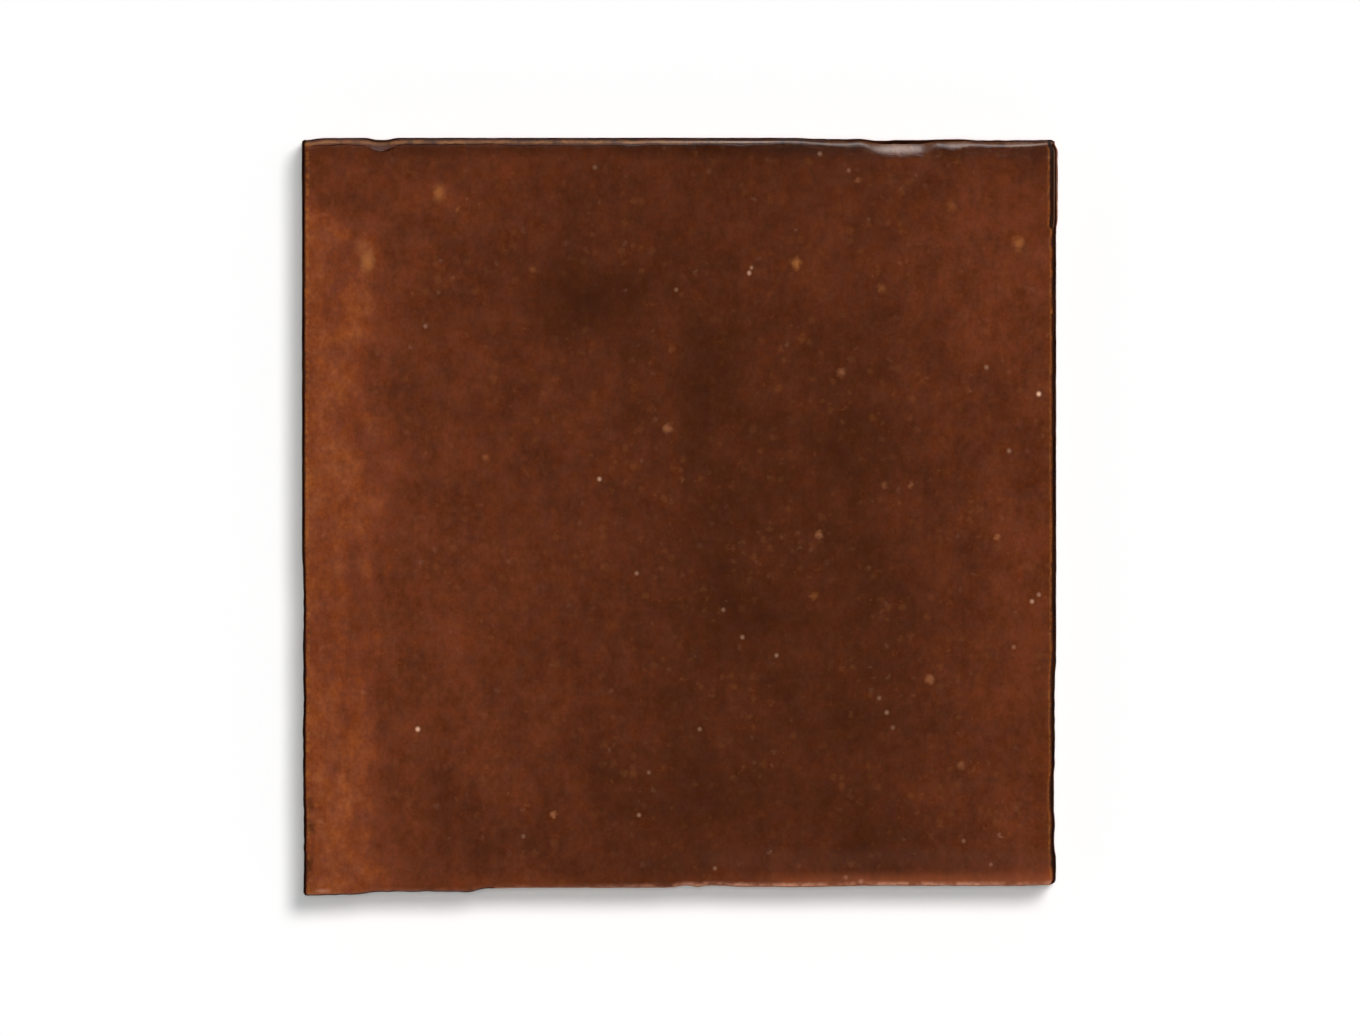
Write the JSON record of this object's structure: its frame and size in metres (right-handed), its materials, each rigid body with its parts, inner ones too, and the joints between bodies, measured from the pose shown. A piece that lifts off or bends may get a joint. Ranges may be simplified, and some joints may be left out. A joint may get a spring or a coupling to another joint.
{
  "type": "ceramic wall tile",
  "caption": "Square hand-made ceramic wall tile with a dark brown speckled glaze, wandering cut sides, rolled face edges and a flat back that beds on a wall.",
  "frame": {"origin": "on the flat back, under the middle of the outline", "axes": "+Z out of the glazed face, +Y up the tile as the picture shows it, +X to the picture's right"},
  "size_m": [0.1, 0.1, 0.01],
  "materials": {
    "glazed_clay": "glossy dark brown glaze with pale specks over red-brown fired clay; the glaze thins to ochre along the left side, and the sides and back are bare clay below the runs"
  },
  "bodies": {
    "root": {"tile": "glazed_clay"}
  },
  "joints": []
}
